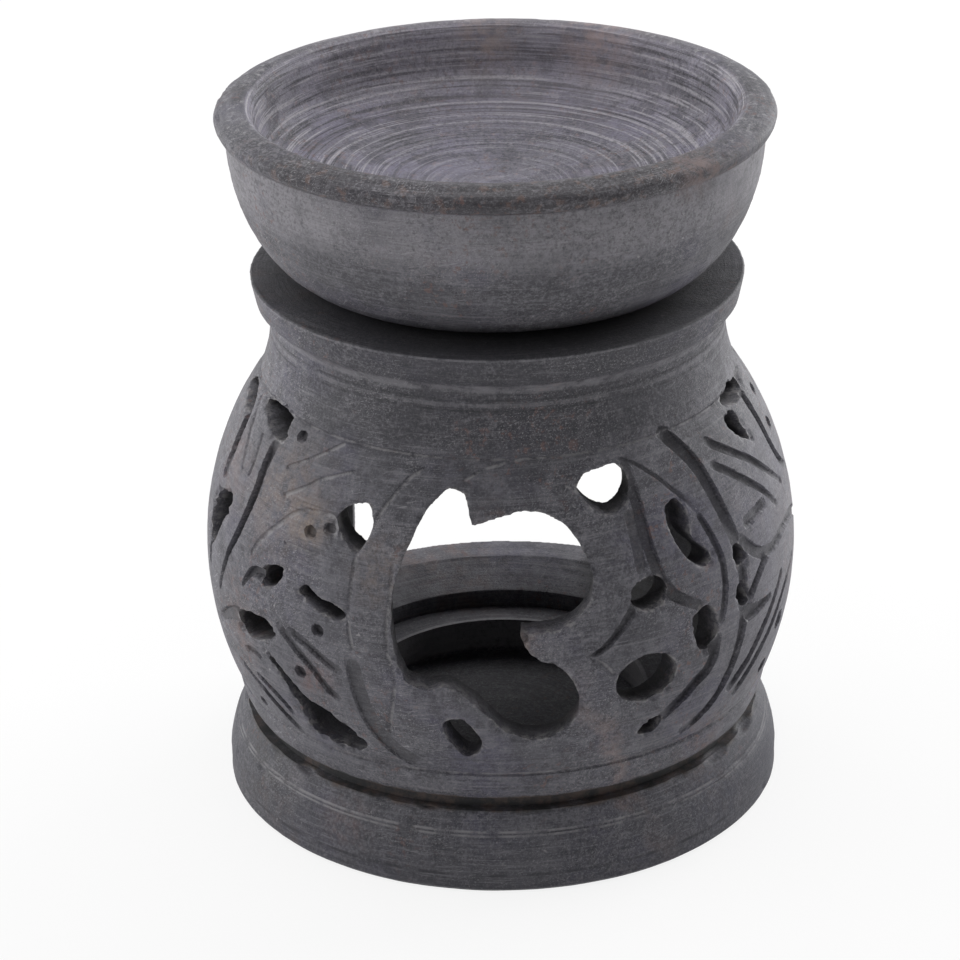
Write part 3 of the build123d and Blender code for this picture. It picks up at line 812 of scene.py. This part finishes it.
# Dimples: bearing, share, width and depth
dimples = [
    (-41.5, 0.28, 2.0, 0.8), (-36.5, 0.45, 2.0, 0.9), (-40.5, 0.74, 2.0, 0.8), (-36.0, 0.765, 1.8, 0.7),
    (-51.0, 0.97, 1.9, 0.9), (-59.0, 0.045, 1.6, 0.7), (70.0, 0.24, 3.2, 0.9), (66.0, 0.10, 2.4, 0.8),
    (84.0, 0.82, 2.2, 0.9), (86.5, 0.92, 2.0, 0.8), (3.3, 0.50, 2.2, 0.7),
]
# Scribed lines: points and width
scribed = [
    ([(-17.0, 0.97), (-20.0, 0.94), (-23.0, 0.885), (-25.0, 0.84), (-25.8, 0.80)], 0.5),
    ([(-28.9, 0.70), (-29.3, 0.60), (-29.4, 0.50), (-28.5, 0.42)], 0.5),
    ([(-21.0, 0.70), (-21.2, 0.60), (-21.6, 0.50), (-21.4, 0.42)], 0.45),
    ([(-21.3, 0.42), (-20.2, 0.36), (-20.5, 0.28), (-21.5, 0.20), (-22.3, 0.14)], 0.45),
    ([(-55.5, 0.60), (-53.0, 0.66), (-49.0, 0.72), (-45.0, 0.775), (-41.0, 0.795), (-36.0, 0.80),
      (-34.3, 0.775), (-34.6, 0.75)], 0.7),
    ([(-7.5, 0.95), (-4.0, 0.975), (0.0, 0.99), (5.0, 1.0)], 0.45),
    ([(10.0, 0.93), (14.0, 0.925), (16.5, 0.905)], 0.45),
    ([(16.5, 0.42), (19.0, 0.39), (20.8, 0.355)], 0.45),
    ([(-51.1, 0.882), (-44.9, 0.932), (-38.2, 0.99)], 0.55),
    ([(-49.2, 0.81), (-43.6, 0.858), (-40.6, 0.888), (-33.3, 0.93)], 0.6),
    ([(-46.1, 0.68), (-42.5, 0.682), (-37.3, 0.685)], 0.45),
    ([(-74.9, 0.978), (-71.2, 0.91), (-68.2, 0.84)], 0.45),
    ([(-72.7, 0.94), (-70.2, 0.878), (-67.0, 0.80)], 0.45),
    ([(-64.6, 0.915), (-63.0, 0.848), (-63.5, 0.80)], 0.45),
]
scribe_cut = 0.28
groove_cut = 0.85
band_line_width = 0.36
side_grooves = [groove for groove in grooves if -92 < min(a for a, s in groove[0]) < -45]
right_grooves = [groove for groove in grooves if 96 > max(a for a, s in groove[0]) > 55]
for mirror, like_grooves in ((left_mirror, side_grooves), (right_mirror, right_grooves)):
    grooves += [(mirrored([line], mirror)[0], start, end, depth) for line, start, end, depth in like_grooves]
dimples += [(2 * left_mirror - a, s, w, d) for a, s, w, d in dimples if a < -50]
dimples += [(2 * right_mirror - a, s, w, d) for a, s, w, d in dimples if a > 60]
band_lines = [[(angle, share) for angle in range(-180, 181, 4)] for share in (1.002, 0.0)]
scribed += [(line, band_line_width) for line in band_lines]


def globe_places(line, pieces):
    """Places on the globe's face along a smooth line, in millimetres."""
    places = []
    for angle, share in smooth_run(line, pieces):
        height = bead_top + carved_height * share
        radius = globe_radius(height)
        turn = math.radians(angle)
        places.append((radius * math.sin(turn), -radius * math.cos(turn), height))
    return np.array(places)


def even_stroke(places, width, depth):
    """A stroke along places with one width and one depth."""
    return places, np.full(len(places), width), np.full(len(places), depth)


def strokes_of_grooves():
    """The carver's strokes for the grooves and dimples, lighter at their ends and towards the outline."""
    strokes = []
    for line, start, end, depth in grooves:
        places = globe_places(line, 12)
        share = np.linspace(0, 1, len(places))
        run_out = np.clip(np.minimum(share * 9, (1 - share) * 4), 0.35, 1)
        bearing = np.degrees(bearings(places))
        lighter = 1 - 0.7 * np.exp(-((np.abs(bearing) - 92) / 7)**2)
        strokes.append((places, start + (end - start) * share, groove_cut * depth * run_out * lighter))
    for angle, share, width, depth in dimples:
        place = globe_places([(angle, share), (angle + 0.5, share)], 2)
        strokes.append(even_stroke(place, width * 0.75, depth))
    return strokes


def chip_strokes():
    """Small chips broken out of the edges of the holes."""
    strokes = []
    for runs in holes:
        for angle, share in hole_outline(runs):
            if hand.random() < 0.34:
                place = globe_places([(angle, share), (angle + 0.3, share)], 1)
                strokes.append(even_stroke(place, hand.uniform(0.3, 1.3), hand.uniform(0.15, 0.6)))
    return strokes


def carve_depths(places, strokes, wall_run):
    """How deep each place lies under the strokes: each is a line of places with widths and depths."""
    depths = np.zeros(len(places))
    for line, widths, cuts in strokes:
        margin = widths.max() + wall_run
        near = np.all((places > line.min(0) - margin) & (places < line.max(0) + margin), axis=1)
        chosen = np.flatnonzero(near)
        for part in np.array_split(chosen, max(1, len(chosen) // 4000)):
            if not len(part):
                continue
            away = np.linalg.norm(places[part][:, None, :] - line[None], axis=2)
            inside = np.clip((widths[None] / 2 + wall_run / 2 - away) / wall_run, 0, 1)
            inside = inside * inside * (3 - 2 * inside)
            depths[part] = np.maximum(depths[part], (inside * cuts[None]).max(1))
    return depths


class GlobeFace:
    """The body's vertices laid onto the globe's outer face, and how far under that face each one lies."""

    def __init__(self, places):
        radius = np.hypot(places[:, 0], places[:, 1])
        height = np.clip(places[:, 2], bead_top - 2, carved_top + 2)
        face = globe_offset + np.sqrt(globe_arc**2 - (height - globe_centre)**2)
        scale = face / np.maximum(radius, 1)
        self.laid = np.column_stack([places[:, 0] * scale, places[:, 1] * scale, places[:, 2]])
        self.under = face - radius
        on_band = (places[:, 2] > bead_top - 1.0) & (places[:, 2] < carved_top + 1.0)
        self.outer = on_band & (self.under < 2.0)

    def depths(self, strokes, wall_run):
        """How deep the strokes go at each vertex of the outer face, and 0 at the others."""
        depths = np.zeros(len(self.laid))
        depths[self.outer] = carve_depths(self.laid[self.outer], strokes, wall_run)
        return depths


groove_strokes = strokes_of_grooves()
scribe_strokes = [even_stroke(globe_places(line, 12), width, scribe_cut) for line, width in scribed]
places = read_places(pierced_body)
face = GlobeFace(places)
depth = face.depths(groove_strokes, 0.14)
floor_wobble = np.array([noise.noise(Vector(place) * 0.55) for place in face.laid[depth > 0]])
depth[depth > 0] *= 1 + 0.22 * floor_wobble
depth = np.maximum(depth, face.depths(scribe_strokes, 0.3))
depth = np.maximum(depth, face.depths(chip_strokes(), 0.7))
push = np.maximum(depth - face.under, 0)
radius = np.hypot(places[:, 0], places[:, 1])
keep = np.where(depth > 0, (radius - push) / np.maximum(radius, 1), 1)
places[:, :2] *= keep[:, None]
write_places(pierced_body, places)
kept_share = min(1, triangle_limit / (2 * len(pierced_body.data.polygons)))
modify(pierced_body, "DECIMATE", ratio=kept_share, use_collapse_triangulate=True)
weather(pierced_body, 0.13, 4.0, "body_wear")
bpy.ops.object.shade_smooth_by_angle(angle=body_smoothing)

# Marks for the material: how much a spot lies in a groove, on a scribed line, on a worn edge, or in soot and
# painted shade
places = read_places(pierced_body)
face = GlobeFace(places)
edges = [hole_outline(runs) for runs in holes]
edge_strokes = [even_stroke(globe_places(edge + edge[:1], 3), 0.5, 1.0) for edge in edges]
bearing = np.abs(np.degrees(bearings(places)))
small_holes = (bearing > 22) & (bearing < 145)
soot_and_shade_start = np.where(small_holes, 0.9, 2.5)
above_floor = np.clip((places[:, 2] - 18.0) / 3.0, 0, 1)
# Painted shade: the inside is darkened on the right, where light through the holes falls on the floor ring.
shaded_right_inside = np.clip((places[:, 0] - 11.0) / 4.0, 0, 1)
marks = {
    "carved": np.clip(face.depths(groove_strokes, 0.16) / 0.4, 0, 1),
    "scratched": face.depths(scribe_strokes, 0.35) / scribe_cut,
    "worn": face.depths(edge_strokes, 0.9),
    "soot_and_shade": np.clip((face.under - soot_and_shade_start) / 0.9, 0, 1) * np.maximum(above_floor, shaded_right_inside),
}
for mark_name, values in marks.items():
    mark = pierced_body.data.attributes.new(mark_name, "FLOAT", "POINT")
    mark.data.foreach_set("value", values.astype(np.float32))

stone = Soapstone("body_soapstone", 2.0)
stone.lay_rings(stone.rings, 0.02, 0.20, 0.45, (0.210, 0.205, 0.222, 1), (0.040, 0.039, 0.045, 1))
front = stone.on_front()
# Painted shade: the front of the neck and collar, under the dish, is darkened.
shaded_neck_front = stone.times(stone.spread(stone.height, 60.0, 64.0), front)
stone.tint(stone.times(shaded_neck_front, 0.78), (0.040, 0.039, 0.046, 1))
# Painted light: a broad patch on the globe's right side is lightened.
stone.tint(stone.times(stone.spot((38.0, -14.0, 40.0), 28.0), 0.60), (0.205, 0.201, 0.228, 1))
# Painted shade: the whole front of the body is darkened a little.
stone.tint(stone.times(front, 0.12), (0.034, 0.033, 0.042, 1))
stone.lay_blotches([
    ((-29.0, -24.4, 52.5), 12.0, (0.205, 0.160, 0.145, 1), 0.85),
    ((-25.0, -28.5, 50.5), 5.0, (0.310, 0.240, 0.190, 1), 0.75),
    ((-35.5, -12.0, 51.0), 9.0, (0.175, 0.135, 0.135, 1), 0.8),
    ((-14.9, -36.8, 47.3), 8.0, (0.165, 0.130, 0.115, 1), 0.8),
    ((-24.5, -31.5, 29.5), 5.0, (0.160, 0.085, 0.075, 1), 0.75),
    ((2.6, -39.5, 39.0), 4.2, (0.220, 0.160, 0.135, 1), 1.0),
])
stone.lay_vein()
stone.lay_streaks(0.40)
stone.lay_grain(0.45)
broken = stone.spread(stone.grain((12, 1, 40), 0.35, 5.0, 0.7), 0.34, 0.60)
dust_shade = (0.262, 0.254, 0.274, 1)
line_shade = (0.026, 0.026, 0.030, 1)
stone.lay_lines([
    (70.75, 0.95, 0.475, 0.50, dust_shade), (68.35, 0.40, 0.20, 0.35, dust_shade),
    (75.62, 0.20, 0.10, 0.42, dust_shade),
    (69.05, 0.20, 0.10, 0.60, line_shade), (67.60, 0.20, 0.10, 0.60, line_shade),
], broken)
# Painted shade: the collar's top face, under the dish, is darkened.
stone.tint(stone.spread(stone.height, 75.70, 75.85, 0.0, 0.55), line_shade)
stone.tint(stone.spread(stone.mark("carved"), 0.3, 0.7, 0.0, 0.55), (0.042, 0.041, 0.046, 1))
scratch = stone.times(stone.mark("scratched"), broken)
stone.tint(stone.spread(scratch, 0.15, 0.9, 0.0, 0.62), (0.320, 0.312, 0.322, 1))
worn = stone.times(stone.mark("worn"), stone.spread(stone.grain((77, 18, 4), 0.8, 5.0, 0.7), 0.42, 0.62))
stone.tint(stone.spread(worn, 0.1, 0.8, 0.0, 0.70), (0.300, 0.288, 0.290, 1))
# Soot inside the chamber, with painted shade on the walls of the holes and the right of the inner floor.
stone.tint(stone.times(stone.mark("soot_and_shade"), 0.7), (0.020, 0.019, 0.019, 1))
# Cement and dirt in the joint, partly painted shade.
stone.lay_joint_dirt_and_shade()
stone.finish(pierced_body, 0.07, 0.16)
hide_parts("body")
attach(pierced_body, "stand")

# Dish: the bowl for water and oil, turned from one thick block of soapstone.
# Its overhanging rim is rounded, the tool's rings show inside, and a short spigot under it
# drops into the mouth of the body. It only rests there and lifts off.
spigot_radius = 21.5
spigot_foot = 73.0
spigot_edge = 0.6
rim_foot = 96.4
bowl_radius = 36.3
bowl_reach = 13.796
bowl_drop = 20.715
bowl_turn = math.radians(80)
bowl_steps = 40
floor_edge = 27.9
floor_foot = 90.75
floor_middle = 87.5
floor_steps = 24
rim_outside = [
    (36.85, 96.6), (37.3, 97.0), (37.6, 97.6), (37.7, 98.2), (37.5, 98.8), (36.9, 99.25),
    (36.0, 99.55), (35.2, 99.85), (34.3, 99.97), (33.6, 99.85), (33.0, 99.45),
]
dish_wall = [
    rim_outside[-1], (32.5, 98.6), (31.2, 93.8), (30.5, 92.7), (29.0, 91.55), (28.5, 91.35), (28.2, 91.0)
]
wall_ripple = turning_ripple * 2.6
floor_ripple = turning_ripple * 1.2
dish_outside = [
    (0, spigot_foot),
    (spigot_radius - spigot_edge, spigot_foot),
    (spigot_radius, spigot_foot + spigot_edge),
    (spigot_radius, collar_top),
]
for step in range(bowl_steps + 1):
    angle = -bowl_turn + bowl_turn * step / bowl_steps
    dish_outside.append((
        bowl_radius - bowl_reach + bowl_reach * math.cos(angle),
        rim_foot + bowl_drop * math.sin(angle),
    ))
dish_floor = [dish_wall[-1]]
for step in range(floor_steps + 1):
    share = 1 - step / floor_steps
    dish_floor.append((floor_edge * share, floor_middle + (floor_foot - floor_middle) * share**2))
dish_profile = tool_marks(dish_outside + rim_outside, turning_step, turning_ripple, 21)
dish_profile += tool_marks(dish_wall, turning_step, wall_ripple, 22)[1:]
dish_profile += tool_marks(dish_floor, turning_step, floor_ripple, 23)[1:]
oil_dish = turn_on_lathe("oil_dish", dish_profile, lathe_steps)
bpy.ops.object.shade_smooth_by_angle(angle=lathe_smoothing)
weather(oil_dish, 0.12, 4.5, "dish_wear")
knock(oil_dish, ragged_edge(37.5, 98.8, 60, 2.6, 1.3, 0.28, 32))
knock(oil_dish, ragged_edge(35.2, 99.8, 50, 2.2, 1.2, 0.22, 33))
knock(oil_dish, [
    (-82, 37.2, 98.9, 4.0, 0.9, 0.8), (68, 36.2, 99.4, 2.4, 1.2, 0.4), (74, 35.6, 99.6, 1.6, 1.0, 0.4),
    (52, 37.0, 99.0, 1.4, 1.0, 0.3), (-35, 37.3, 98.8, 2.0, 1.0, 0.25), (10, 37.4, 98.6, 1.8, 1.0, 0.25),
    (160, 37.2, 98.8, 2.6, 1.2, 0.4), (-150, 34.0, 99.9, 2.0, 1.0, 0.3), (118, 33.4, 99.7, 1.6, 1.0, 0.3),
])

stone = Soapstone("dish_soapstone", 1.9)
front = stone.on_front()
in_bowl = stone.times(stone.spread(stone.height, 86.9, 87.4), stone.spread(stone.radius, 34.0, 33.0))
purple = stone.spread(stone.grain((18, 6, 29), 0.10, 5.0, 0.6), 0.35, 0.65, 0.20, 0.72)
stone.tint(stone.times(in_bowl, purple), (0.200, 0.186, 0.276, 1))
on_wall = stone.times(in_bowl, stone.spread(stone.height, 90.5, 93.0, 0.22, 0.50))
stone.tint(on_wall, (0.310, 0.294, 0.336, 1))
stone.lay_over([
    ((40, 3, 14), 0.20, 5.0, 0.60, 0.52, 0.38, 0.60, (0.052, 0.049, 0.064, 1)),
    ((6, 50, 31), 0.80, 4.0, 0.70, 0.58, 0.70, 0.55, (0.420, 0.395, 0.430, 1)),
    ((90, 4, 4), 0.50, 4.0, 0.70, 0.58, 0.68, 0.60, (0.300, 0.215, 0.210, 1)),
], in_bowl)
dark_clouds = ((28, 61, 17), 0.07, 5.0, 0.60, 0.52, 0.40, 0.50, (0.048, 0.047, 0.054, 1))
stone.lay_over([dark_clouds], stone.other_than(in_bowl))
dusty_band = stone.times(stone.spread(stone.height, 86.0, 92.0), stone.spread(stone.height, 96.6, 96.2))
dust = stone.spread(stone.grain((1, 28, 7), 0.16, 6.0, 0.7), 0.30, 0.60, 0.40, 1.00)
outside = stone.spread(stone.radius, 33.0, 34.5)
stone.tint(stone.times(stone.times(dusty_band, outside), dust), (0.250, 0.241, 0.262, 1))
# Painted shade: the bowl's underside is darkened at the front, towards the collar.
stone.tint(stone.times(stone.spread(stone.height, 89.0, 84.0, 0.0, 0.50), front), (0.046, 0.045, 0.051, 1))
# Painted shade: the rim's front is darkened. The same mask carries the real rust specks below.
rim_front = stone.times(stone.spread(stone.height, 96.3, 96.7), front)
stone.tint(stone.times(rim_front, 0.80), (0.036, 0.032, 0.036, 1))
rust_specks = ((64, 11, 2), 0.55, 4.0, 0.60, 0.54, 0.64, 0.65, (0.150, 0.094, 0.078, 1))
stone.lay_over([rust_specks], rim_front)
pale_flecks = ((20, 71, 9), 0.70, 4.0, 0.70, 0.54, 0.66, 0.60, (0.400, 0.388, 0.400, 1))
stone.lay_over([pale_flecks], stone.times(stone.spread(stone.height, 98.9, 99.6), stone.other_than(front)))
off_centre = stone.spread(stone.radius, 5.0, 22.0, 0.12, 0.75)
ring_strength = stone.plus(stone.times(in_bowl, off_centre), 0.10)
stone.lay_rings(stone.rings, 0.04, 0.12, ring_strength, (0.420, 0.404, 0.436, 1), (0.042, 0.040, 0.048, 1))
stone.lay_streaks(0.30)
stone.lay_grain(0.60)
# Painted light: the back of the dish is lightened.
stone.tint(stone.spread(stone.back, 12.0, 30.0, 0.0, 0.22), (0.340, 0.312, 0.352, 1))
stone.lay_blotches([
    ((26.0, -26.3, 98.5), 6.0, (0.200, 0.145, 0.140, 1), 0.8),
    ((-1.6, 33.5, 97.0), 7.0, (0.330, 0.270, 0.255, 1), 0.85),
    ((15.0, 30.0, 98.0), 9.0, (0.340, 0.262, 0.256, 1), 0.75),
    ((9.0, -35.0, 87.0), 1.6, (0.340, 0.250, 0.170, 1), 1.0),
])
stone.finish(oil_dish, 0.08, 0.16)
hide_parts("dish")
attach(oil_dish, "dish")

# Stage: a wide white sheet under the burner, five soft lights round it, and the camera.
sheet_size = 6.0
sheet_shade = (0.86, 0.86, 0.86, 1)
sheet_glow = 0.85
room_light = 0.30
white = (1, 1, 1, 1)
target = Vector((0, 0, 0.055))
light_size = 0.55
lights = [
    ("left_softbox", (-0.70, 0.0, 0.25), 2.3),
    ("top_softbox", (0.0, 0.0, 0.75), 1.9),
    ("top_back_softbox", (0.0, 0.45, 0.60), 0.9),
    ("left_back_softbox", (-0.55, 0.45, 0.25), 2.2),
    ("right_back_softbox", (0.55, 0.45, 0.25), 5.2),
]
camera_place = Vector((0, -0.43660, 0.24568))
camera_pitch = math.radians(24.86)
camera_roll = -0.0126

bpy.ops.object.select_all(action="DESELECT")
bpy.ops.mesh.primitive_plane_add(size=sheet_size)
floor = bpy.context.object
floor.name = "floor"
sheet = bpy.data.materials.new("white_sheet")
sheet.use_nodes = True
tree = sheet.node_tree
tree.nodes.clear()
output = add_node(tree, "ShaderNodeOutputMaterial")
paper = add_node(tree, "ShaderNodeBsdfDiffuse", {"Color": sheet_shade})
glow = add_node(tree, "ShaderNodeEmission", {"Color": white, "Strength": 1.0})
rays = add_node(tree, "ShaderNodeLightPath")
seen = maths(tree, "MAXIMUM", rays.outputs["Is Camera Ray"], rays.outputs["Is Glossy Ray"])
seen = maths(tree, "MAXIMUM", seen, rays.outputs["Is Transmission Ray"])
seen = maths(tree, "MULTIPLY", seen, sheet_glow)
sheet_mix = add_node(
    tree, "ShaderNodeMixShader", {0: seen, 1: paper.outputs["BSDF"], 2: glow.outputs["Emission"]}
)
tree.links.new(sheet_mix.outputs["Shader"], output.inputs["Surface"])
floor.data.materials.append(sheet)

world = bpy.data.worlds.new("studio")
bpy.context.scene.world = world
world.use_nodes = True
tree = world.node_tree
tree.nodes.clear()
output = add_node(tree, "ShaderNodeOutputWorld")
room = add_node(tree, "ShaderNodeBackground", {"Color": white, "Strength": room_light})
backdrop = add_node(tree, "ShaderNodeBackground", {"Color": white, "Strength": 1.0})
rays = add_node(tree, "ShaderNodeLightPath")
seen = maths(tree, "MAXIMUM", rays.outputs["Is Camera Ray"], rays.outputs["Is Transmission Ray"])
room_mix = add_node(
    tree, "ShaderNodeMixShader", {0: seen, 1: room.outputs["Background"], 2: backdrop.outputs["Background"]}
)
tree.links.new(room_mix.outputs["Shader"], output.inputs["Surface"])

for light_name, light_place, light_power in lights:
    bpy.ops.object.light_add(type="AREA", location=light_place)
    lamp = bpy.context.object
    lamp.name = light_name
    lamp.data.size = light_size
    lamp.data.energy = light_power
    lamp.rotation_euler = (target - Vector(light_place)).to_track_quat("-Z", "Y").to_euler()

bpy.ops.object.camera_add()
camera = bpy.context.object
camera.data.sensor_width = 36.0
camera.data.lens = 128.49
camera.data.shift_x = -0.0207
camera.data.clip_start = 0.01
camera.data.clip_end = 20.0
camera.matrix_world = (
    Matrix.Translation(camera_place)
    @ Matrix.Rotation(math.radians(90) - camera_pitch, 4, "X")
    @ Matrix.Rotation(camera_roll, 4, "Z")
)
bpy.context.scene.camera = camera
bpy.context.scene.view_settings.view_transform = "Standard"
